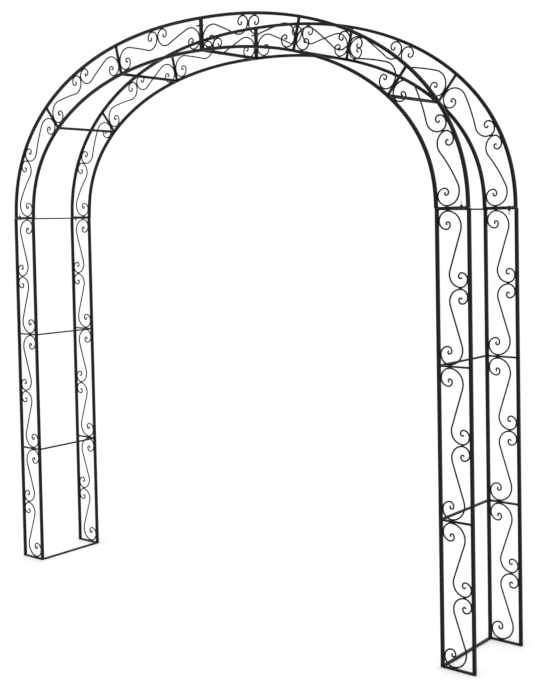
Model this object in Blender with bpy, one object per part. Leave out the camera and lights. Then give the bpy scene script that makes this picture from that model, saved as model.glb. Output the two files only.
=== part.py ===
"""Garden arch of black painted steel bar, for climbing plants.

Two ladder-shaped arches stand one behind the other, tied together by cross bars between
their inner rails. Each ladder has three bays in a leg and three in each half of the arch,
and each bay holds a pair of S scrolls that meet at mid bay. The whole knocks down into four
welded frames: a left and a right leg, and the two halves of the arch. Bolts hold the frames
together, two at the crown and two at the top of each leg.

Origin on the ground, midway between the four feet. +X runs along the width of the opening,
+Y from the near ladder to the far one, +Z up. Metres.
"""
import math

import bmesh
import bpy
import numpy as np
from mathutils import Vector

# ---- driving dimensions -------------------------------------------------------------------
HALF_SPAN = 1.250           # middle of the opening to the centre line of a leg's outer rail
LEG_BAYS = (0.5285, 0.546, 0.551)   # heights of a leg's three bays, from the ground up
RISE = 0.797                # top of a leg to the crown, on the outer rail's centre line
ARCH_POWER = 2.167          # 2 gives an ellipse; a little more squares its shoulders
ARCH_INSET = 0.003          # the arch stands this much inside the legs' rails
ARCH_BAYS = (0.3415, 0.332, 0.3265)    # shares of a half arch's length, from the leg up
LADDER_WIDTH = 0.130        # inner rail to outer rail, centre to centre
LADDER_SPACING = 0.336      # near ladder to far ladder, centre to centre

RAIL = 0.012                # side of the square rails
FLAT_WIDTH = 0.012          # the flat bar of the ties
FLAT_THICKNESS = 0.006
CORNER_WELD = 0.003         # leg of the weld where a rung meets a cross bar
ROD = 0.006                 # diameter of the scrolls' rod
BIG_CURL = (0.0535, 0.0350, 0.0285, 0.0160, 0.0100, 0.0055)    # its radius, turn by turn
SMALL_CURL = (0.0445, 0.0280, 0.0230, 0.0125, 0.0075, 0.0045)
BIG_END = 160               # how far the last, tightest arc of a curl turns, in degrees
SMALL_END = 90

BOLT = 0.006                # thread diameter
BOLT_HEAD_ACROSS = 0.010    # across the flats, head and nut alike
BOLT_HEAD_HEIGHT = 0.004
BOLT_NUT_HEIGHT = 0.005
BOLT_TAIL = 0.020           # thread that stands out past the joint
BOLT_FROM_INNER_RAIL = 0.100
BOLT_HOLE = 0.0072

GAP = 0.0003                # between pieces that touch
ARCH_ROD_GAP = 0.0008       # rod to bent rail, whose flats cut inside its true curve
WELD = 0.0006               # how far two welded rods run into each other
RAIL_STEPS = 36             # straight stretches in a half of the arch
HOLE_SIDES = 12

# ---- derived dimensions -------------------------------------------------------------------
LEG_HEIGHT = sum(LEG_BAYS)
ARCH_HALF_SPAN = HALF_SPAN - ARCH_INSET
NEAR_TO_MIDDLE = LADDER_SPACING / 2
RAIL_CLEAR = RAIL / 2 + GAP
SIDES = {"left": -1, "right": 1}
LADDERS = {"near": -NEAR_TO_MIDDLE, "far": NEAR_TO_MIDDLE}
RAILS = {"inner": 0.0, "outer": LADDER_WIDTH}

BLACK_PAINT = ((0.016, 0.016, 0.017, 1), 0.45, 0.0)
ZINC = ((0.30, 0.30, 0.31, 1), 0.35, 1.0)


def clear_scene():
    for scene_object in list(bpy.data.objects):
        bpy.data.objects.remove(scene_object, do_unlink=True)


# ---- the arch's curve ---------------------------------------------------------------------
def outer_rail_point(turn):
    """Point and outward normal on the outer rail, for turn from 0 (top of leg) to pi/2 (crown)."""
    x = ARCH_HALF_SPAN * max(math.cos(turn), 0.0) ** (2 / ARCH_POWER)
    z = RISE * math.sin(turn) ** (2 / ARCH_POWER)
    normal = np.array([(x / ARCH_HALF_SPAN) ** (ARCH_POWER - 1) / ARCH_HALF_SPAN,
                       (z / RISE) ** (ARCH_POWER - 1) / RISE])
    return np.array([x, z]), normal / np.linalg.norm(normal)


def middle_line_lengths(turns):
    """Distance along the ladder's middle line, from the top of the leg to each turn."""
    middle = [point - normal * LADDER_WIDTH / 2 for point, normal in map(outer_rail_point, turns)]
    steps = np.linalg.norm(np.diff(middle, axis=0), axis=1)
    return np.concatenate([[0.0], np.cumsum(steps)])


TURNS = np.linspace(0.0, math.pi / 2, 2001)
LENGTHS = middle_line_lengths(TURNS)
ARCH_LENGTH = LENGTHS[-1]


# ---- ladder coordinates: across from the inner rail, depth, and along from the ladder's foot
def leg_place(side):
    def place(across, depth, along):
        return Vector((side * (HALF_SPAN - LADDER_WIDTH + across), depth, along))
    return place


def arch_place(side):
    def place(across, depth, along):
        turn = float(np.interp(along, LENGTHS, TURNS))
        point, normal = outer_rail_point(turn)
        x, z = point + normal * (across - LADDER_WIDTH)
        return Vector((side * x, depth, LEG_HEIGHT + z))
    return place


# ---- solids -------------------------------------------------------------------------------
def skin(rings):
    """A closed solid through rings of points: its first ring as a face, extruded to the rest."""
    shape = bmesh.new()
    foot = shape.faces.new([shape.verts.new(point) for point in rings[0]])
    face = foot
    for ring in rings[1:]:
        grown = bmesh.ops.extrude_face_region(shape, geom=[face])["geom"]
        if face is not foot:
            bmesh.ops.delete(shape, geom=[face], context="FACES_ONLY")
        face = next(item for item in grown if isinstance(item, bmesh.types.BMFace))
        for vertex, point in zip(face.verts, ring):
            vertex.co = point
    bmesh.ops.recalc_face_normals(shape, faces=shape.faces[:])
    return shape


def as_object(name, shape):
    mesh = bpy.data.meshes.new(name)
    shape.to_mesh(mesh)
    shape.free()
    solid = bpy.data.objects.new(name, mesh)
    bpy.context.scene.collection.objects.link(solid)
    return solid


def finished(solid, finish):
    colour, roughness, metallic = finish
    material = bpy.data.materials.new(solid.name + "_finish")
    material.use_nodes = True
    shader = material.node_tree.nodes["Principled BSDF"]
    shader.inputs["Base Color"].default_value = colour
    shader.inputs["Roughness"].default_value = roughness
    shader.inputs["Metallic"].default_value = metallic
    solid.data.materials.clear()
    solid.data.materials.append(material)
    return solid


def combine(solid, tools, operation):
    """Unite the tools with the solid, or cut them out of it, and keep only the result."""
    for tool in tools:
        boolean = solid.modifiers.new(operation, "BOOLEAN")
        boolean.operation = operation
        boolean.object = tool
    seen = solid.evaluated_get(bpy.context.evaluated_depsgraph_get())
    result = bpy.data.meshes.new_from_object(seen)
    solid.modifiers.clear()
    solid.data = result
    for tool in tools:
        bpy.data.objects.remove(tool, do_unlink=True)
    return solid


def disc_ring(centre, axis, radius, sides):
    """Points of a regular polygon round an axis."""
    across = axis.orthogonal().normalized()
    up = axis.cross(across)
    angles = [2 * math.pi * step / sides for step in range(sides)]
    return [centre + radius * (math.cos(a) * across + math.sin(a) * up) for a in angles]


# ---- rails --------------------------------------------------------------------------------
def rail(name, place, across, depth, start, end, steps):
    half = RAIL / 2
    corners = ((-half, -half), (half, -half), (half, half), (-half, half))
    rings = [[place(across + a, depth + d, along) for a, d in corners]
             for along in np.linspace(start, end, steps + 1)]
    return finished(as_object(name, skin(rings)), BLACK_PAINT)


# ---- ties ---------------------------------------------------------------------------------
def tie_outline():
    """A tie from above: a rung in each ladder and the cross bar that joins them, welded."""
    wide = FLAT_WIDTH / 2
    rung_end = LADDER_WIDTH - RAIL_CLEAR
    far_rung = NEAR_TO_MIDDLE
    half = [(rung_end, far_rung - wide),
            (rung_end, far_rung + wide),
            (RAIL_CLEAR, far_rung + wide),
            (RAIL_CLEAR, far_rung - RAIL_CLEAR),
            (-wide, far_rung - RAIL_CLEAR)]
    weld = [(wide, far_rung - wide - CORNER_WELD),
            (wide + CORNER_WELD, far_rung - wide)]
    mirrored = [(across, -depth) for across, depth in weld + half]
    return weld + half + mirrored[::-1]


def hole(place, across, depth, along):
    """A cutter that runs along the ladder through a rung."""
    ends = [place(across, depth, along - FLAT_WIDTH), place(across, depth, along + FLAT_WIDTH)]
    axis = (ends[1] - ends[0]).normalized()
    return as_object("hole", skin([disc_ring(end, axis, BOLT_HOLE / 2, HOLE_SIDES) for end in ends]))


def tie(name, place, start, bolt_across=None):
    """One tie whose lower face is at start; with bolt_across, each of its rungs has a hole."""
    outline = tie_outline()
    rings = [[place(across, depth, along) for across, depth in outline]
             for along in (start, start + FLAT_THICKNESS)]
    solid = as_object(name, skin(rings))
    if bolt_across is not None:
        middle = start + FLAT_THICKNESS / 2
        holes = [hole(place, bolt_across, depth, middle) for depth in LADDERS.values()]
        combine(solid, holes, "DIFFERENCE")
    return finished(solid, BLACK_PAINT)


def end_bar(place, depth, start, bolt_across):
    """A single rung between the rails, with its bolt hole, at the foot of the arch."""
    wide = FLAT_WIDTH / 2
    reach = (RAIL_CLEAR, LADDER_WIDTH - RAIL_CLEAR)
    corners = ((reach[0], -wide), (reach[1], -wide), (reach[1], wide), (reach[0], wide))
    rings = [[place(across, depth + d, along) for across, d in corners]
             for along in (start, start + FLAT_THICKNESS)]
    bar = as_object("end_bar", skin(rings))
    middle = start + FLAT_THICKNESS / 2
    return combine(bar, [hole(place, bolt_across, depth, middle)], "DIFFERENCE")


# ---- scrolls ------------------------------------------------------------------------------
def arc(centre, radius, start, end, steps):
    """Points on an arc; angles in degrees, 0 towards the outer rail and 90 towards mid bay."""
    angles = np.radians(np.linspace(start, end, steps + 1))
    return [(centre[0] + radius * math.cos(a), centre[1] + radius * math.sin(a)) for a in angles]


def wound(point, angle, radii, last_turn, steps):
    """Points of a curl wound inwards, clockwise, from a point: a quarter turn at each radius.

    The angle is that of the point, seen from the first centre. The last radius has a turn of
    its own, and steps holds the number of straight stretches in each turn.
    """
    line = [point]
    turns = [90] * (len(radii) - 1) + [last_turn]
    for radius, turn, count in zip(radii, turns, steps):
        centre = (line[-1][0] - radius * math.cos(math.radians(angle)),
                  line[-1][1] - radius * math.sin(math.radians(angle)))
        line += arc(centre, radius, angle, angle - turn, count)[1:]
        angle -= turn
    return line


def scroll_line(half_bay, rod_gap, rung_gap):
    """Centre line of one S, (across, along) from the inner rail and from the rung's face.

    The big curl touches the inner rail and the rung, the small one the outer rail and, at mid
    bay, its twin. Each curl tightens by quarter turns, and a straight stretch joins the two.
    """
    wall = RAIL / 2 + rod_gap + ROD / 2
    big, small = BIG_CURL[0], SMALL_CURL[0]
    on_rung = (wall + BIG_CURL[1], rung_gap + ROD / 2)
    on_twin = (LADDER_WIDTH - wall - SMALL_CURL[1], half_bay + WELD - ROD / 2)
    big_centre = (on_rung[0], on_rung[1] + big)
    small_centre = (on_twin[0], on_twin[1] - small)

    across = small_centre[0] - big_centre[0]
    along = small_centre[1] - big_centre[1]
    slack = math.acos((big + small) / math.hypot(across, along))
    lean = math.degrees(math.atan2(along, across) - slack)

    line = wound(on_rung, 270, BIG_CURL[1:], BIG_END, (4, 3, 3, 2, 3))[::-1]
    line += arc(big_centre, big, 270, 360 + lean, 4)[1:]
    line += arc(small_centre, small, 180 + lean, 90, 4)
    line += wound(on_twin, 90, SMALL_CURL[1:], SMALL_END, (3, 3, 2, 2, 2))[1:]
    return line


def rod_along(place, line, depth):
    """Four-sided rod along a line of (across, along) points in one ladder's plane."""
    points = [place(across, depth, along) for across, along in line]
    sideways = Vector((0, ROD / 2, 0))
    rings = []
    for index, point in enumerate(points):
        before = points[max(index - 1, 0)]
        after = points[min(index + 1, len(points) - 1)]
        heading = (after - before).normalized()
        across = heading.cross(Vector((0, 1, 0))) * ROD / 2
        rings.append([point + across, point + sideways, point - across, point - sideways])
    return as_object("rod", skin(rings))


def scroll_pair(name, place, depth, foot, top, rod_gap, foot_gap=GAP, welded_to=()):
    """The two S scrolls of a bay whose rungs' faces are at foot and top, welded at mid bay."""
    half_bay = (top - foot) / 2
    lower_line = scroll_line(half_bay, rod_gap, foot_gap)
    upper_line = scroll_line(half_bay, rod_gap, GAP)
    lower = rod_along(place, [(across, foot + along) for across, along in lower_line], depth)
    upper = rod_along(place, [(across, top - along) for across, along in upper_line], depth)
    lower.name = name
    return finished(combine(lower, [upper, *welded_to], "UNION"), BLACK_PAINT)


# ---- bolts --------------------------------------------------------------------------------
def bolt(name, centre, axis):
    """A hexagon bolt with its nut; its tail points along axis, and centre is between the bars."""
    bars = FLAT_THICKNESS + GAP / 2 + GAP
    corner = BOLT_HEAD_ACROSS / 2 / math.cos(math.pi / 6)
    profile = ((-bars - BOLT_HEAD_HEIGHT, corner),
               (-bars, corner),
               (-bars, BOLT / 2),
               (bars, BOLT / 2),
               (bars, corner),
               (bars + BOLT_NUT_HEIGHT, corner),
               (bars + BOLT_NUT_HEIGHT, BOLT / 2),
               (bars + BOLT_TAIL, BOLT / 2))
    rings = [disc_ring(centre + axis * along, axis, radius, 6) for along, radius in profile]
    return finished(as_object(name, skin(rings)), ZINC)


# ---- the four welded frames ---------------------------------------------------------------
def leg(side_name):
    side = SIDES[side_name]
    place = leg_place(side)
    prefix = f"leg_{side_name}"
    for ladder, depth in LADDERS.items():
        for rail_name, across in RAILS.items():
            rail(f"{prefix}_{ladder}_{rail_name}_rail", place, across, depth,
                 0.0, LEG_HEIGHT - GAP / 2, 1)

    levels = np.cumsum(LEG_BAYS)
    half = FLAT_THICKNESS / 2
    starts = (0.0, levels[0] - half, levels[1] - half, LEG_HEIGHT - GAP / 2 - FLAT_THICKNESS)
    for name, start in zip(("base", "lower", "upper"), starts):
        tie(f"{prefix}_{name}_tie", place, start)
    tie(f"{prefix}_top_tie", place, starts[3], BOLT_FROM_INNER_RAIL)

    for ladder, depth in LADDERS.items():
        for bay, name in enumerate(("lower", "middle", "upper")):
            scroll_pair(f"{prefix}_{ladder}_{name}_scrolls", place, depth,
                        starts[bay] + FLAT_THICKNESS, starts[bay + 1], GAP)


def arch_half(side_name):
    side = SIDES[side_name]
    place = arch_place(side)
    prefix = f"arch_{side_name}"
    for ladder, depth in LADDERS.items():
        for rail_name, across in RAILS.items():
            rail(f"{prefix}_{ladder}_{rail_name}_rail", place, across, depth,
                 GAP / 2, ARCH_LENGTH - GAP / 2, RAIL_STEPS)

    levels = ARCH_LENGTH * np.cumsum(ARCH_BAYS)
    half = FLAT_THICKNESS / 2
    starts = (GAP / 2, levels[0] - half, levels[1] - half,
              ARCH_LENGTH - GAP / 2 - FLAT_THICKNESS)
    tie(f"{prefix}_lower_tie", place, starts[1])
    tie(f"{prefix}_upper_tie", place, starts[2])
    tie(f"{prefix}_crown_tie", place, starts[3], BOLT_FROM_INNER_RAIL)

    bolt_across = BOLT_FROM_INNER_RAIL + ARCH_INSET
    for ladder, depth in LADDERS.items():
        scroll_pair(f"{prefix}_{ladder}_lower_scrolls_and_end_bar", place, depth,
                    starts[0] + FLAT_THICKNESS, starts[1], ARCH_ROD_GAP, -WELD,
                    [end_bar(place, depth, starts[0], bolt_across)])
        for bay, name in ((1, "middle"), (2, "upper")):
            scroll_pair(f"{prefix}_{ladder}_{name}_scrolls", place, depth,
                        starts[bay] + FLAT_THICKNESS, starts[bay + 1], ARCH_ROD_GAP)


def joint_bolts():
    """Near bolts point up and far ones down at the legs' tops; at the crown all point left."""
    tails = {"near": Vector((0, 0, 1)), "far": Vector((0, 0, -1))}
    crown_height = LEG_HEIGHT + RISE - LADDER_WIDTH + BOLT_FROM_INNER_RAIL
    leg_distance = HALF_SPAN - LADDER_WIDTH + BOLT_FROM_INNER_RAIL
    for ladder, depth in LADDERS.items():
        bolt(f"crown_{ladder}_bolt", Vector((0, depth, crown_height)), Vector((-1, 0, 0)))
        for side_name, side in SIDES.items():
            bolt(f"leg_{side_name}_{ladder}_bolt",
                 Vector((side * leg_distance, depth, LEG_HEIGHT)), tails[ladder])


clear_scene()
for side_name in SIDES:
    leg(side_name)
    arch_half(side_name)
joint_bolts()
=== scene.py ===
import math
import random
from contextlib import contextmanager

import bpy
from mathutils import Matrix, Vector


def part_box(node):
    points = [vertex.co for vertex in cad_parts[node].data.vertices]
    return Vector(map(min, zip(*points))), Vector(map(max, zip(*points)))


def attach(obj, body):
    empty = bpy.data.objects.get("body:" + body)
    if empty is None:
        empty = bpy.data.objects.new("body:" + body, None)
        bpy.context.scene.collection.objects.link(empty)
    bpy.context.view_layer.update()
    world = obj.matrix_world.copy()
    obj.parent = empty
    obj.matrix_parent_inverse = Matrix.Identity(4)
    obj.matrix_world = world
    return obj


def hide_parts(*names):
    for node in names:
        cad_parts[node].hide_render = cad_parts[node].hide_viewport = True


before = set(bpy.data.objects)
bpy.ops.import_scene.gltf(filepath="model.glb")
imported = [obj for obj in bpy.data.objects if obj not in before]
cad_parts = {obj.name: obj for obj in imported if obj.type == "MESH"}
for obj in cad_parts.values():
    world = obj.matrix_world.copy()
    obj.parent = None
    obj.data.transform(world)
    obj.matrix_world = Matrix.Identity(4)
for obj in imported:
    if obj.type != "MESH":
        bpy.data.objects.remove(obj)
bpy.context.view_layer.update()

# Looks of a black painted garden arch: square bar rails, flat bar ties, rod scrolls, zinc bolts.
# Every bar is made on a flat bench (X along the ladder, +Y towards the inner rail, Z towards
# the near side), bent where it belongs to the arch, and stood up in its place.

random.seed(7)

# ---- sizes taken from the frame -------------------------------------------------------------
outer_low, outer_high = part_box("leg_right_near_outer_rail")
inner_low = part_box("leg_right_near_inner_rail")[0]
far_low, far_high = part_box("leg_right_far_outer_rail")
arch_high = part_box("arch_right_near_outer_rail")[1]
base_low, base_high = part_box("leg_right_base_tie")
bolt_low, bolt_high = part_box("leg_right_far_bolt")

RAIL = outer_high.x - outer_low.x
HALF_SPAN = (outer_low.x + outer_high.x) / 2
LADDER_WIDTH = outer_low.x - inner_low.x
NEAR_DEPTH = (outer_low.y + outer_high.y) / 2
FAR_DEPTH = (far_low.y + far_high.y) / 2
SPACING = FAR_DEPTH - NEAR_DEPTH
LEG_HEIGHT = outer_high.z
FLAT_THICKNESS = base_high.z - base_low.z
FLAT_WIDTH = RAIL + 2 * (base_high.y - far_high.y)
ARCH_HALF_SPAN = arch_high.x - RAIL / 2
RISE = arch_high.z - RAIL / 2 - LEG_HEIGHT
BOLT_ACROSS = bolt_high.y - bolt_low.y

# ---- sizes of the maker's own ---------------------------------------------------------------
ARCH_POWER = 2.167          # 2 gives an ellipse; a little more squares the arch's shoulders
ARCH_BAYS = (0.3415, 0.332, 0.3265)     # shares of a half arch's length, from the leg up
ROD = 0.006
BIG_CURL = (0.0535, 0.0350, 0.0285, 0.0160, 0.0100, 0.0055)    # a curl's radii, turn by turn
SMALL_CURL = (0.0445, 0.0280, 0.0230, 0.0125, 0.0075, 0.0045)
BIG_END = 160               # how far the last, tightest arc of a curl turns, in degrees
SMALL_END = 90
BIG_STEPS = (18, 12, 10, 8, 8, 12)      # how finely each arc of a curl is stepped
SMALL_STEPS = (18, 10, 9, 8, 8, 8)
STRAIGHT_STEPS = 8
TOUCH = 0.0003              # gap between pieces that are welded or bolted to each other
BEAD = 0.0034               # thickness of a bead on a flat bar
TACK = 0.0042               # thickness of a tack on a rod
BEAD_MARGIN = 0.003         # from a bead's end to the flat bar's edge
WELD_OUT = 0.0008           # from a bar's face to the middle of the weld on it
RAIL_CORNER = 0.0011
FLAT_CORNER = 0.0007
BOLT = 0.006
PITCH = 0.001
THREAD_ROOT = 0.86          # a bolt's size at the bottom of its thread, as a share
NUT_HEIGHT = 0.005
HEAD_HEIGHT = 0.004
HEX_RIM = 0.0006            # bevel round a hexagon's two faces
HEX_EDGE = 0.0003           # bevel along its six edges
LADDERS = {"near": 0.0, "far": SPACING}
RAILS = {"inner": 0.0, "outer": LADDER_WIDTH}
BAYS = ("lower", "middle", "upper")


# ---- working with one piece at a time -------------------------------------------------------
def pick(*pieces):
    """Select these pieces only, the first of them active."""
    bpy.ops.object.select_all(action="DESELECT")
    for piece in pieces:
        piece.select_set(True)
    bpy.context.view_layer.objects.active = pieces[0]


@contextmanager
def editing(piece, mode="EDGE"):
    """Work on one piece in edit mode, with one kind of selection."""
    pick(piece)
    bpy.ops.object.mode_set(mode="EDIT")
    bpy.ops.mesh.select_mode(type=mode)
    yield
    bpy.ops.object.mode_set(mode="OBJECT")


def choose_edges(piece, wanted):
    """Select the edges for whose two ends wanted(a, b) holds."""
    bpy.ops.mesh.select_all(action="DESELECT")
    bpy.ops.object.mode_set(mode="OBJECT")
    points = piece.data.vertices
    for edge in piece.data.edges:
        edge.select = wanted(points[edge.vertices[0]].co, points[edge.vertices[1]].co)
    bpy.ops.object.mode_set(mode="EDIT")


def settle(piece):
    """Apply the object's place, turn and scale to its mesh."""
    pick(piece)
    bpy.ops.object.transform_apply(location=True, rotation=True, scale=True)
    return piece


def fresh(name):
    """Name the shape that was just added, and settle it."""
    piece = bpy.context.active_object
    piece.name = name
    piece.data.name = name
    return settle(piece)


def join(name, pieces):
    """Make one piece of several."""
    pick(*pieces)
    bpy.ops.object.join()
    piece = bpy.context.active_object
    piece.name = name
    piece.data.name = name
    return piece


def copy_of(piece, name, shift=(0, 0, 0)):
    """A copy with a mesh of its own, shifted."""
    twin = piece.copy()
    twin.data = piece.data.copy()
    twin.name = name
    twin.data.name = name
    bpy.context.collection.objects.link(twin)
    twin.location = shift
    return settle(twin)


def mirrored(piece, name, axis=0, about=0.0, shift=(0, 0, 0)):
    """A shifted copy turned over a plane across the axis, its faces put right again."""
    twin = copy_of(piece, name, shift)
    twin.scale[axis] = -1
    twin.location[axis] = 2 * about
    settle(twin)
    with editing(twin, "FACE"):
        bpy.ops.mesh.select_all(action="SELECT")
        bpy.ops.mesh.normals_make_consistent(inside=False)
    return twin


def smooth(piece, angle=35):
    """Shade smooth over edges flatter than an angle, in degrees."""
    pick(piece)
    bpy.ops.object.shade_smooth_by_angle(angle=math.radians(angle))
    return piece


# ---- the arch's line, and standing bench work in its place ----------------------------------
def outer_rail_point(turn):
    """Point and outward normal on the outer rail, for turn from 0 (joint) to pi/2 (crown)."""
    x = ARCH_HALF_SPAN * max(math.cos(turn), 0.0) ** (2 / ARCH_POWER)
    z = RISE * math.sin(turn) ** (2 / ARCH_POWER)
    normal = Vector(((x / ARCH_HALF_SPAN) ** (ARCH_POWER - 1) / ARCH_HALF_SPAN,
                     (z / RISE) ** (ARCH_POWER - 1) / RISE))
    return Vector((x, LEG_HEIGHT + z)), normal.normalized()


def arch_middle_line(count=400):
    """Points on the ladder's middle line, from the joint to the crown."""
    turns = [math.pi / 2 * step / count for step in range(count + 1)]
    return [point - normal * LADDER_WIDTH / 2 for point, normal in map(outer_rail_point, turns)]


MIDDLE_LINE = arch_middle_line()
ARCH_LENGTH = sum((b - a).length for a, b in zip(MIDDLE_LINE, MIDDLE_LINE[1:]))


def bending_former():
    """The flat curve that arch pieces are bent along."""
    curve = bpy.data.curves.new("arch_former", "CURVE")
    curve.dimensions = "2D"
    spline = curve.splines.new("POLY")
    spline.points.add(len(MIDDLE_LINE) - 1)
    for knot, point in zip(spline.points, MIDDLE_LINE):
        knot.co = (point.x, point.y, 0, 1)
    former = bpy.data.objects.new("arch_former", curve)
    bpy.context.collection.objects.link(former)
    return former


def bent(piece):
    """Bend bench work along the arch's line and stand it up on the near side."""
    pick(piece)
    bpy.ops.object.modifier_add(type="CURVE")
    bend = piece.modifiers[-1]
    bend.object = FORMER
    bend.deform_axis = "POS_X"
    bpy.ops.object.modifier_apply(modifier=bend.name)
    stood = Matrix.Rotation(math.pi / 2, 4, "X")
    piece.matrix_world = Matrix.Translation((0, NEAR_DEPTH, 0)) @ stood
    return settle(piece)


def upright(piece):
    """Stand straight bench work up as part of the right leg's near ladder."""
    place = Vector((HALF_SPAN - LADDER_WIDTH / 2, NEAR_DEPTH, 0))
    turned = Matrix.Rotation(math.pi / 2, 4, "X") @ Matrix.Rotation(math.pi / 2, 4, "Z")
    piece.matrix_world = Matrix.Translation(place) @ turned
    return settle(piece)


FORMER = bending_former()


def bench(across, along, depth=0.0):
    """Bench point for a distance across from the inner rail and along from the ladder's foot."""
    return Vector((along, LADDER_WIDTH / 2 - across, depth))


# ---- bars -----------------------------------------------------------------------------------
def bar(name, centre, size, corner, stretches=1):
    """A bar with rolled corners, divided into stretches along its longest side, X."""
    bpy.ops.mesh.primitive_cube_add(size=1, location=centre, scale=size)
    piece = fresh(name)
    with editing(piece):
        bpy.ops.mesh.select_all(action="SELECT")
        bpy.ops.mesh.bevel(offset=corner, segments=3, affect="EDGES")
        if stretches > 1:
            choose_edges(piece, lambda a, b: abs(a.x - b.x) > size[0] / 2)
            bpy.ops.mesh.subdivide(number_cuts=stretches - 1)
    return smooth(piece)


def rail(name, across, middle, length, stretches):
    """Square bar along the ladder, its middle at a distance from the foot."""
    return bar(name, bench(across, middle), (length, RAIL, RAIL), RAIL_CORNER, stretches)


def rung(name, start):
    """Flat bar between the two rails, its lower face at start along the ladder."""
    clear = LADDER_WIDTH - RAIL - 2 * TOUCH
    centre = bench(LADDER_WIDTH / 2, start + FLAT_THICKNESS / 2)
    return bar(name, centre, (FLAT_THICKNESS, clear, FLAT_WIDTH), FLAT_CORNER)


def cross_bar(name, start):
    """Flat bar from the near inner rail to the far one; on the bench it runs away in -Z."""
    reach = SPACING - RAIL - 2 * TOUCH
    centre = bench(0, start + FLAT_THICKNESS / 2, -SPACING / 2)
    return bar(name, centre, (FLAT_THICKNESS, FLAT_WIDTH, reach), FLAT_CORNER)


# ---- welds ----------------------------------------------------------------------------------
def bead(start, end, size):
    """A run of overlapping weld drops from start to end, a little uneven in place and size."""
    run = end - start
    spacing = size * 0.55
    count = max(2, round(run.length / spacing) + 1)
    drops = []
    for index in range(count):
        jitter = Vector([random.uniform(-0.1, 0.1) * size for _ in range(3)])
        swell = random.uniform(0.85, 1.1)
        place = start + run * index / (count - 1) + jitter * swell
        bpy.ops.mesh.primitive_uv_sphere_add(segments=10, ring_count=6, location=place,
                                             radius=size / 2 * swell)
        drops.append(fresh("drop"))
    return drops


def bead_lines(start):
    """Heights of the beads on a flat bar's two faces; a bar on the ground has the upper only."""
    below, above = start - TOUCH, start + FLAT_THICKNESS + TOUCH
    return (above,) if start < FLAT_THICKNESS else (below, above)


def rung_welds(start):
    """Beads above and below a rung at both rails."""
    half = FLAT_WIDTH / 2 - BEAD_MARGIN
    drops = []
    for across in (RAIL / 2 + WELD_OUT, LADDER_WIDTH - RAIL / 2 - WELD_OUT):
        for along in bead_lines(start):
            drops += bead(bench(across, along, -half), bench(across, along, half), BEAD)
    return drops


def cross_bar_welds(start):
    """Beads above and below a cross bar at both inner rails."""
    half = FLAT_WIDTH / 2 - BEAD_MARGIN
    drops = []
    for depth in (-RAIL / 2 - WELD_OUT, -SPACING + RAIL / 2 + WELD_OUT):
        for along in bead_lines(start):
            drops += bead(bench(-half, along, depth), bench(half, along, depth), BEAD)
    return drops


# ---- scrolls --------------------------------------------------------------------------------
def heading(degrees):
    """Bench direction; 0 points to the outer rail, 90 along the ladder towards mid bay."""
    angle = math.radians(degrees)
    return Vector((math.sin(angle), -math.cos(angle), 0))


def turn_round(centre, degrees, steps):
    """Carry the rod's open end round a centre; positive degrees turn it anticlockwise."""
    bpy.ops.mesh.spin(steps=steps, angle=math.radians(abs(degrees)), center=centre,
                      axis=(0, 0, -math.copysign(1, degrees)))


def carry(way, steps):
    """Draw the rod's open end straight on."""
    for _ in range(steps):
        bpy.ops.mesh.extrude_region_move(TRANSFORM_OT_translate={"value": way / steps})


def quarter_centres(point, angle, radii):
    """Centres of a curl's quarter turns, wound clockwise and inwards from a point."""
    centres = []
    for radius in radii:
        centres.append(point - heading(angle) * radius)
        angle -= 90
        point = centres[-1] + heading(angle) * radius
    return centres


def scroll(name, foot, half_bay):
    """One S of round rod, bent as a smith does: tight end first, a quarter turn at a time."""
    rod = ROD / 2
    wall = RAIL / 2 + TOUCH + rod
    big, small = BIG_CURL[0], SMALL_CURL[0]
    on_rung = bench(wall + BIG_CURL[1], foot + TOUCH + rod)
    on_twin = bench(LADDER_WIDTH - wall - SMALL_CURL[1], foot + half_bay - rod)
    big_centre = on_rung - heading(270) * big
    small_centre = on_twin - heading(90) * small
    between = small_centre - big_centre
    towards = math.degrees(math.atan2(between.x, -between.y))
    lean = towards - math.degrees(math.acos((big + small) / between.length))
    leaves = big_centre + heading(lean) * big
    arrives = small_centre + heading(180 + lean) * small

    inner = quarter_centres(on_rung, 270, BIG_CURL[1:])
    tight_end = inner[-1] + heading(-90 - BIG_END) * BIG_CURL[-1]
    bpy.ops.mesh.primitive_circle_add(vertices=12, radius=rod, location=tight_end,
                                      rotation=(math.pi / 2, 0, math.radians(-180 - BIG_END)))
    piece = fresh(name)
    with editing(piece, "VERT"):
        bpy.ops.mesh.select_all(action="SELECT")
        turn_round(inner[-1], BIG_END, BIG_STEPS[-1])
        for centre, steps in zip(inner[-2::-1], BIG_STEPS[-2:0:-1]):
            turn_round(centre, 90, steps)
        turn_round(big_centre, 90 + lean, BIG_STEPS[0])
        carry(arrives - leaves, STRAIGHT_STEPS)
        turn_round(small_centre, -(90 + lean), SMALL_STEPS[0])
        outer = quarter_centres(on_twin, 90, SMALL_CURL[1:])
        for centre, steps in zip(outer[:-1], SMALL_STEPS[1:]):
            turn_round(centre, -90, steps)
        turn_round(outer[-1], -SMALL_END, SMALL_STEPS[-1])
        bpy.ops.mesh.select_all(action="SELECT")
        bpy.ops.mesh.remove_doubles(threshold=0.00001)
        bpy.ops.mesh.select_non_manifold()
        bpy.ops.mesh.fill_holes(sides=0)
        bpy.ops.mesh.select_all(action="SELECT")
        bpy.ops.mesh.normals_make_consistent(inside=False)
    round_ends(piece)
    return smooth(piece, 50)


def round_ends(piece):
    """Take the sharp edge off both cut ends of a rod."""
    with editing(piece, "FACE"):
        bpy.ops.mesh.select_all(action="DESELECT")
        bpy.ops.mesh.select_face_by_sides(number=4, type="GREATER")
        bpy.ops.mesh.bevel(offset=ROD * 0.18, segments=2, affect="EDGES")


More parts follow.
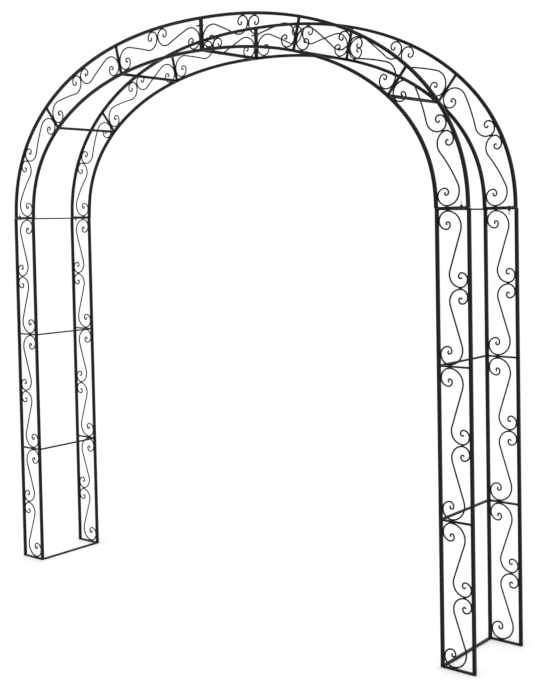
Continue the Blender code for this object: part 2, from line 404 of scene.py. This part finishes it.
def scroll_welds(foot, half_bay):
    """Tacks where an S touches the inner rail, the rung, the outer rail and its twin."""
    wall = RAIL / 2 + TOUCH + ROD / 2
    big_across, small_across = wall + BIG_CURL[1], LADDER_WIDTH - wall - SMALL_CURL[1]
    big_along = foot + TOUCH + ROD / 2 + BIG_CURL[1]
    small_along = foot + half_bay - ROD / 2 - SMALL_CURL[1]
    along_rail, along_rung = Vector((0.003, 0, 0)), Vector((0, 0.004, 0))   # half a tack's run
    tacks = ((bench(RAIL / 2 + WELD_OUT, big_along), along_rail),
             (bench(big_across, foot + WELD_OUT), along_rung),
             (bench(LADDER_WIDTH - RAIL / 2 - WELD_OUT, small_along), along_rail),
             (bench(small_across, foot + half_bay), along_rung))
    drops = []
    for place, way in tacks:
        drops += bead(place - way, place + way, TACK)
    return drops


def scroll_pair(name, foot, top, extra=()):
    """The two S scrolls of a bay, mirror images about mid bay, with their welds."""
    half_bay = (top - foot) / 2
    lower = join("lower", [scroll("lower", foot, half_bay), *scroll_welds(foot, half_bay)])
    upper = mirrored(lower, "upper", axis=0, about=(foot + top) / 2)
    return join(name, [lower, upper, *extra])


# ---- bolts ----------------------------------------------------------------------------------
BARS = FLAT_THICKNESS + 1.5 * TOUCH     # from the joint's plane to a bolted bar's outer face
TAIL = bolt_high.z - bolt_low.z - 2 * BARS - HEAD_HEIGHT


def hexagon(name, start, height):
    """A hexagon lying along X, with its rims and edges taken off."""
    bpy.ops.mesh.primitive_cylinder_add(vertices=6, radius=BOLT_ACROSS / 2, depth=height,
                                        rotation=(0, math.pi / 2, 0),
                                        location=(start + height / 2, 0, 0))
    piece = fresh(name)
    with editing(piece):
        choose_edges(piece, lambda a, b: abs(a.x - b.x) < height / 2)
        bpy.ops.mesh.bevel(offset=HEX_RIM, segments=2, affect="EDGES")
        choose_edges(piece, lambda a, b: abs(a.x - b.x) > height / 2)
        bpy.ops.mesh.bevel(offset=HEX_EDGE, segments=2, affect="EDGES")
    return smooth(piece)


def threaded_shank(name, start, length):
    """A rod cut with grooves a pitch apart."""
    bpy.ops.mesh.primitive_circle_add(vertices=20, radius=BOLT / 2, fill_type="NGON",
                                      rotation=(0, math.pi / 2, 0), location=(start, 0, 0))
    piece = fresh(name)
    flank = PITCH / 2
    with editing(piece, "FACE"):
        bpy.ops.mesh.select_all(action="SELECT")
        for step in range(round(length / flank)):
            along = start + flank * (step + 1)
            bpy.ops.mesh.extrude_region_move(TRANSFORM_OT_translate={"value": (flank, 0, 0)})
            size = THREAD_ROOT if step % 2 == 0 else 1 / THREAD_ROOT
            bpy.ops.transform.resize(value=(1, size, size), center_override=(along, 0, 0))
        bpy.ops.mesh.select_all(action="SELECT")
        bpy.ops.mesh.normals_make_consistent(inside=False)
    return smooth(piece, 60)


def bolt(name):
    """A hexagon bolt lying along X, its tail towards +X, with the joint's plane at 0."""
    head = hexagon("head", -BARS - HEAD_HEIGHT, HEAD_HEIGHT)
    shank = threaded_shank("shank", -BARS, 2 * BARS + TAIL)
    return join(name, [head, shank])


def put_bolt(piece, place, tail):
    """Turn a part that lies along X towards its tail's direction, and put it in place."""
    turned = Vector((1, 0, 0)).rotation_difference(tail).to_matrix().to_4x4()
    piece.matrix_world = Matrix.Translation(place) @ turned
    return settle(piece)


# ---- paint and plate ------------------------------------------------------------------------
DEEP_BLACK = (0.0040, 0.0040, 0.0042, 1)
SOFT_BLACK = (0.0070, 0.0070, 0.0074, 1)
RUBBED_EDGE = (0.040, 0.039, 0.037, 1)
FINE_DUST = (0.060, 0.057, 0.052, 1)
# Colour of the painted shade in a bolt's hollows and thread grooves.
PLATE_HOLLOW_SHADE = (0.09, 0.09, 0.095, 1)


def group(name, inputs, outputs):
    """An empty node group with named sockets; inputs are (name, kind, default)."""
    tree = bpy.data.node_groups.new(name, "ShaderNodeTree")
    for socket, kind, value in inputs:
        made = tree.interface.new_socket(socket, in_out="INPUT", socket_type=kind)
        made.default_value = value
    for socket, kind in outputs:
        tree.interface.new_socket(socket, in_out="OUTPUT", socket_type=kind)
    return tree, tree.nodes.new("NodeGroupInput"), tree.nodes.new("NodeGroupOutput")


def noise(tree, vector, scale, detail, roughness=0.55):
    """A noise texture's value; scale is a number or a socket."""
    node = tree.nodes.new("ShaderNodeTexNoise")
    node.inputs["Detail"].default_value = detail
    node.inputs["Roughness"].default_value = roughness
    if isinstance(scale, (int, float)):
        node.inputs["Scale"].default_value = scale
    else:
        tree.links.new(scale, node.inputs["Scale"])
    tree.links.new(vector, node.inputs["Vector"])
    return node.outputs["Fac"]


def ramp(tree, value, low, high, start=0.0, end=1.0):
    """The value, spread from low..high to start..end."""
    node = tree.nodes.new("ShaderNodeMapRange")
    tree.links.new(value, node.inputs["Value"])
    ends = {"From Min": low, "From Max": high, "To Min": start, "To Max": end}
    for socket, amount in ends.items():
        node.inputs[socket].default_value = amount
    return node.outputs["Result"]


def combine(tree, operation, first, second):
    """Sum or product of two values, each a number or a socket."""
    node = tree.nodes.new("ShaderNodeMath")
    node.operation = operation
    for socket, value in zip(node.inputs, (first, second)):
        if isinstance(value, (int, float)):
            socket.default_value = value
        else:
            tree.links.new(value, socket)
    return node.outputs[0]


def paint_film_group():
    """Sprayed paint: a fine orange peel, a slow mottle and dust nibs, from Object coordinates."""
    tree, start, end = group("paint_film",
                             [("Peel scale", "NodeSocketFloat", 900.0),
                              ("Mottle scale", "NodeSocketFloat", 14.0)],
                             [("Peel", "NodeSocketFloat"),
                              ("Mottle", "NodeSocketFloat"),
                              ("Nibs", "NodeSocketFloat")])
    where = tree.nodes.new("ShaderNodeTexCoord").outputs["Object"]
    peel = noise(tree, where, start.outputs["Peel scale"], 3.0)
    mottle = noise(tree, where, start.outputs["Mottle scale"], 5.0, 0.62)
    specks = noise(tree, where, 2600.0, 0.0)
    tree.links.new(peel, end.inputs["Peel"])
    tree.links.new(ramp(tree, mottle, 0.32, 0.70), end.inputs["Mottle"])
    tree.links.new(ramp(tree, specks, 0.70, 0.78), end.inputs["Nibs"])
    return tree


def weathering_group():
    """Rubbed edges, and fine dust lying on faces that look up."""
    tree, start, end = group("weathering",
                             [("Edge wear", "NodeSocketFloat", 0.3),
                              ("Dust", "NodeSocketFloat", 0.3)],
                             [("Wear", "NodeSocketFloat"),
                              ("Dust", "NodeSocketFloat")])
    geometry = tree.nodes.new("ShaderNodeNewGeometry")
    where = tree.nodes.new("ShaderNodeTexCoord").outputs["Object"]
    edges = ramp(tree, geometry.outputs["Pointiness"], 0.56, 0.66)
    patches = ramp(tree, noise(tree, where, 55.0, 6.0, 0.7), 0.52, 0.68)
    worn = combine(tree, "MULTIPLY", edges, patches)
    split = tree.nodes.new("ShaderNodeSeparateXYZ")
    tree.links.new(geometry.outputs["Normal"], split.inputs[0])
    upward = ramp(tree, split.outputs["Z"], 0.45, 1.0)
    drifts = ramp(tree, noise(tree, where, 120.0, 8.0, 0.7), 0.35, 0.75)
    settled = combine(tree, "MULTIPLY", upward, drifts)
    tree.links.new(combine(tree, "MULTIPLY", worn, start.outputs["Edge wear"]), end.inputs["Wear"])
    tree.links.new(combine(tree, "MULTIPLY", settled, start.outputs["Dust"]), end.inputs["Dust"])
    return tree


def placed(tree, made, **values):
    """A group put into a material, with values for its sockets."""
    node = tree.nodes.new("ShaderNodeGroup")
    node.node_tree = made
    for name, value in values.items():
        node.inputs[name.replace("_", " ")].default_value = value
    return node


def mixed(tree, factor, first, second):
    """A colour between two others, each a colour or a socket."""
    node = tree.nodes.new("ShaderNodeMix")
    node.data_type = "RGBA"
    tree.links.new(factor, node.inputs[0])
    for socket, value in ((node.inputs[6], first), (node.inputs[7], second)):
        if isinstance(value, tuple):
            socket.default_value = value
        else:
            tree.links.new(value, socket)
    return node.outputs[2]


def bumped(tree, heights, distance):
    """A Normal from a chain of Bump nodes, one for each (height, strength)."""
    normal = None
    for height, strength in heights:
        node = tree.nodes.new("ShaderNodeBump")
        node.inputs["Strength"].default_value = strength
        node.inputs["Distance"].default_value = distance
        tree.links.new(height, node.inputs["Height"])
        if normal is not None:
            tree.links.new(normal, node.inputs["Normal"])
        normal = node.outputs["Normal"]
    return normal


def new_material(name):
    """A material, its nodes and its shader."""
    material = bpy.data.materials.new(name)
    material.use_nodes = True
    return material, material.node_tree, material.node_tree.nodes["Principled BSDF"]


def black_paint(name, peel_scale, peel, bar_scale, bar_strength, edge_wear, roughness):
    """Satin black paint on steel; the bar's own surface shows through as a broad unevenness."""
    material, tree, shader = new_material(name)
    film = placed(tree, PAINT_FILM, Peel_scale=peel_scale)
    weather = placed(tree, WEATHERING, Edge_wear=edge_wear, Dust=0.16)
    where = tree.nodes.new("ShaderNodeTexCoord").outputs["Object"]
    surface = noise(tree, where, bar_scale, 4.0)

    black = mixed(tree, film.outputs["Mottle"], DEEP_BLACK, SOFT_BLACK)
    rubbed = mixed(tree, weather.outputs["Wear"], black, RUBBED_EDGE)
    dusted = mixed(tree, weather.outputs["Dust"], rubbed, FINE_DUST)
    tree.links.new(dusted, shader.inputs["Base Color"])

    rough = ramp(tree, film.outputs["Mottle"], 0.0, 1.0, roughness - 0.05, roughness + 0.06)
    dull = combine(tree, "ADD", rough, combine(tree, "MULTIPLY", weather.outputs["Dust"], 0.6))
    tree.links.new(dull, shader.inputs["Roughness"])
    heights = ((surface, bar_strength),
               (film.outputs["Peel"], peel),
               (film.outputs["Nibs"], 0.25))
    tree.links.new(bumped(tree, heights, 0.0004), shader.inputs["Normal"])
    shader.inputs["Specular IOR Level"].default_value = 0.11
    return material


def zinc_plate(name, dark, light):
    """Dull zinc plated steel with a faint crystal mottle, and painted shade darkening its hollows.
    """
    material, tree, shader = new_material(name)
    where = tree.nodes.new("ShaderNodeTexCoord").outputs["Object"]
    film = placed(tree, PAINT_FILM, Peel_scale=1800.0, Mottle_scale=420.0)
    geometry = tree.nodes.new("ShaderNodeNewGeometry")
    # Painted shade: concave places, such as the thread's grooves, are mixed towards a fixed dark
    # grey.
    hollow_shade = ramp(tree, geometry.outputs["Pointiness"], 0.50, 0.40)
    greys = [(grey, grey, grey, 1) for grey in (dark, light)]
    bright = mixed(tree, film.outputs["Mottle"], *greys)
    tree.links.new(mixed(tree, hollow_shade, bright, PLATE_HOLLOW_SHADE), shader.inputs["Base Color"])
    rough = ramp(tree, noise(tree, where, 700.0, 4.0), 0.3, 0.7, 0.30, 0.46)
    tree.links.new(rough, shader.inputs["Roughness"])
    tree.links.new(bumped(tree, ((film.outputs["Peel"], 0.2),), 0.0002), shader.inputs["Normal"])
    shader.inputs["Metallic"].default_value = 0.9
    return material


PAINT_FILM = paint_film_group()
WEATHERING = weathering_group()
RAIL_PAINT = black_paint("rail_paint", peel_scale=700.0, peel=0.20, bar_scale=60.0,
                         bar_strength=0.35, edge_wear=0.5, roughness=0.40)
TIE_PAINT = black_paint("tie_paint", peel_scale=800.0, peel=0.22, bar_scale=90.0,
                        bar_strength=0.35, edge_wear=0.5, roughness=0.42)
SCROLL_PAINT = black_paint("scroll_paint", peel_scale=1000.0, peel=0.18, bar_scale=150.0,
                           bar_strength=0.40, edge_wear=0.3, roughness=0.40)
ZINC = zinc_plate("zinc_plate", dark=0.66, light=0.80)
# The same zinc made near black: painted shade, for the nuts and crown bolts that look dark.
SHADED_ZINC = zinc_plate("painted_shade_zinc", dark=0.03, light=0.07)


# ---- fitting finished pieces to the frame ---------------------------------------------------
def fit(piece, node, paint):
    """Paint a piece and let it stand for its node."""
    piece.data.materials.clear()
    piece.data.materials.append(paint)
    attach(piece, "root")
    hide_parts(node)


def fit_four(piece, pattern, label, paint):
    """Copy a near right piece to all four ladders; pattern and label hold {side} and {ladder}."""
    for ladder, depth in LADDERS.items():
        shift = (0, depth, 0)
        left = mirrored(piece, label.format(side="left", ladder=ladder), shift=shift)
        right = copy_of(piece, label.format(side="right", ladder=ladder), shift)
        for side, twin in (("left", left), ("right", right)):
            fit(twin, pattern.format(side=side, ladder=ladder), paint)
    bpy.data.objects.remove(piece, do_unlink=True)


def fit_tie(pieces, pattern, label):
    """Join near rung, far rung and cross bar into the right tie, and mirror it for the left."""
    right = join(label.format(side="right"), pieces)
    left = mirrored(right, label.format(side="left"))
    for side, piece in (("right", right), ("left", left)):
        fit(piece, pattern.format(side=side), TIE_PAINT)


def make_tie(stand, pattern, label, start):
    """One level's near rung, far rung and cross bar; stand is what puts bench work in place."""
    near = join("near_rung", [rung("near_rung", start), *rung_welds(start)])
    stand(near)
    far = copy_of(near, "far_rung", (0, SPACING, 0))
    cross = join("cross", [cross_bar("cross", start), *cross_bar_welds(start)])
    fit_tie([near, far, stand(cross)], pattern, label)


def make_leg():
    """Rails, ties and scrolls of a leg, fitted to both legs."""
    for name, across in RAILS.items():
        middle, length = LEG_HEIGHT / 2 - TOUCH / 4, LEG_HEIGHT - TOUCH / 2
        fit_four(upright(rail("rail", across, middle, length, stretches=24)),
                 f"leg_{{side}}_{{ladder}}_{name}_rail",
                 f"leg_rail_{{side}}_{{ladder}}_{name}", RAIL_PAINT)
    levels = ("base", "lower", "upper", "top")
    starts = [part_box(f"leg_right_{level}_tie")[0].z for level in levels]
    for level, start in zip(levels, starts):
        make_tie(upright, f"leg_{{side}}_{level}_tie", f"leg_tie_{{side}}_{level}", start)
    for bay, low, high in zip(BAYS, starts, starts[1:]):
        piece = scroll_pair("scrolls", low + FLAT_THICKNESS, high)
        fit_four(upright(piece), f"leg_{{side}}_{{ladder}}_{bay}_scrolls",
                 f"leg_scrolls_{{side}}_{{ladder}}_{bay}", SCROLL_PAINT)


def make_arch_half():
    """Rails, ties, scrolls and end bars of half an arch, fitted to both halves."""
    for name, across in RAILS.items():
        piece = rail("rail", across, ARCH_LENGTH / 2, ARCH_LENGTH - TOUCH, stretches=120)
        fit_four(bent(piece), f"arch_{{side}}_{{ladder}}_{name}_rail",
                 f"arch_rail_{{side}}_{{ladder}}_{name}", RAIL_PAINT)
    lower = ARCH_LENGTH * ARCH_BAYS[0]
    upper = ARCH_LENGTH * (ARCH_BAYS[0] + ARCH_BAYS[1])
    starts = (TOUCH / 2, lower - FLAT_THICKNESS / 2, upper - FLAT_THICKNESS / 2,
              ARCH_LENGTH - TOUCH / 2 - FLAT_THICKNESS)
    for level, start in zip(("lower", "upper", "crown"), starts[1:]):
        make_tie(bent, f"arch_{{side}}_{level}_tie", f"arch_tie_{{side}}_{level}", start)
    for bay, low, high in zip(BAYS, starts, starts[1:]):
        lowest = bay == "lower"
        end_bar = [rung("end_bar", low), *rung_welds(low)] if lowest else []
        node = "lower_scrolls_and_end_bar" if lowest else f"{bay}_scrolls"
        piece = scroll_pair("scrolls", low + FLAT_THICKNESS, high, end_bar)
        fit_four(bent(piece), f"arch_{{side}}_{{ladder}}_{node}",
                 f"arch_scrolls_{{side}}_{{ladder}}_{bay}", SCROLL_PAINT)


def make_bolts():
    """A bolt and a nut at each joint; the nuts and the crown's bolts get a near black copy of the
    zinc, which is painted shade.
    """
    made_bolt = bolt("bolt")
    made_nut = hexagon("nut", BARS, NUT_HEIGHT)
    tails = {f"leg_{side}_{ladder}_bolt": Vector((0, 0, 1 if ladder == "near" else -1))
             for side in ("left", "right") for ladder in LADDERS}
    tails.update({f"crown_{ladder}_bolt": Vector((-1, 0, 0)) for ladder in LADDERS})
    off_centre = (TAIL - HEAD_HEIGHT) / 2
    for node, tail in tails.items():
        low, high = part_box(node)
        place = (low + high) / 2 - tail * off_centre
        for part in (made_bolt, made_nut):
            piece = put_bolt(copy_of(part, f"{node}_{part.name}"), place, tail)
            # Leg bolts keep the bright zinc; nuts and crown bolts take the near black copy,
            # painted shade.
            bright = part is made_bolt and node.startswith("leg")
            fit(piece, node, ZINC if bright else SHADED_ZINC)
    for part in (made_bolt, made_nut):
        bpy.data.objects.remove(part, do_unlink=True)


# ---- studio ---------------------------------------------------------------------------------
def make_floor():
    """A wide pale floor, a hair below the arch's feet."""
    bpy.ops.mesh.primitive_circle_add(vertices=96, radius=60, fill_type="NGON",
                                      location=(0, 0, -0.0005))
    floor = fresh("studio_floor")
    material, tree, shader = new_material("pale_floor")
    where = tree.nodes.new("ShaderNodeTexCoord").outputs["Object"]
    shade = noise(tree, where, 1.3, 3.0)
    tree.links.new(mixed(tree, shade, (0.95, 0.95, 0.95, 1), (0.97, 0.97, 0.97, 1)),
                   shader.inputs["Base Color"])
    shader.inputs["Roughness"].default_value = 0.9
    floor.data.materials.append(material)


def area_light(name, place, aim, size, power):
    """A square light at a place, aimed at a point."""
    bpy.ops.object.light_add(type="AREA", location=place)
    light = bpy.context.active_object
    light.name = name
    light.data.shape = "SQUARE"
    light.data.size = size
    light.data.energy = power
    light.rotation_euler = (Vector(aim) - Vector(place)).to_track_quat("-Z", "Y").to_euler()


def make_studio():
    """Pale floor, an even white surround and two weak soft lights."""
    make_floor()
    world = bpy.data.worlds.new("studio_world")
    bpy.context.scene.world = world
    world.use_nodes = True
    sky = world.node_tree.nodes["Background"]
    sky.inputs["Color"].default_value = (1, 1, 1, 1)
    sky.inputs["Strength"].default_value = 1.06
    mid_arch = (0, 0, 1.2)
    area_light("key_light", (4.0, -4.5, 5.5), mid_arch, size=4.0, power=60)
    area_light("fill_light", (-5.0, -3.0, 4.0), mid_arch, size=4.0, power=30)
    bpy.context.scene.view_settings.view_transform = "Standard"


def make_camera():
    """Standing height, to the right of the opening, the lens shifted to frame the whole arch."""
    lens = bpy.data.cameras.new("camera")
    lens.lens = 59.3
    lens.shift_x = -0.0878
    lens.shift_y = -0.1128
    place = Vector((3.2515, -3.5203, 1.5913))
    aim, tilt, roll = (math.radians(angle) for angle in (37.74, 87.68, -0.98))
    camera = bpy.data.objects.new("camera", lens)
    bpy.context.collection.objects.link(camera)
    camera.matrix_world = (Matrix.Translation(place)
                           @ Matrix.Rotation(aim, 4, "Z")
                           @ Matrix.Rotation(tilt, 4, "X")
                           @ Matrix.Rotation(roll, 4, "Z"))
    bpy.context.scene.camera = camera


make_leg()
make_arch_half()
make_bolts()
bpy.data.objects.remove(FORMER, do_unlink=True)
make_studio()
make_camera()
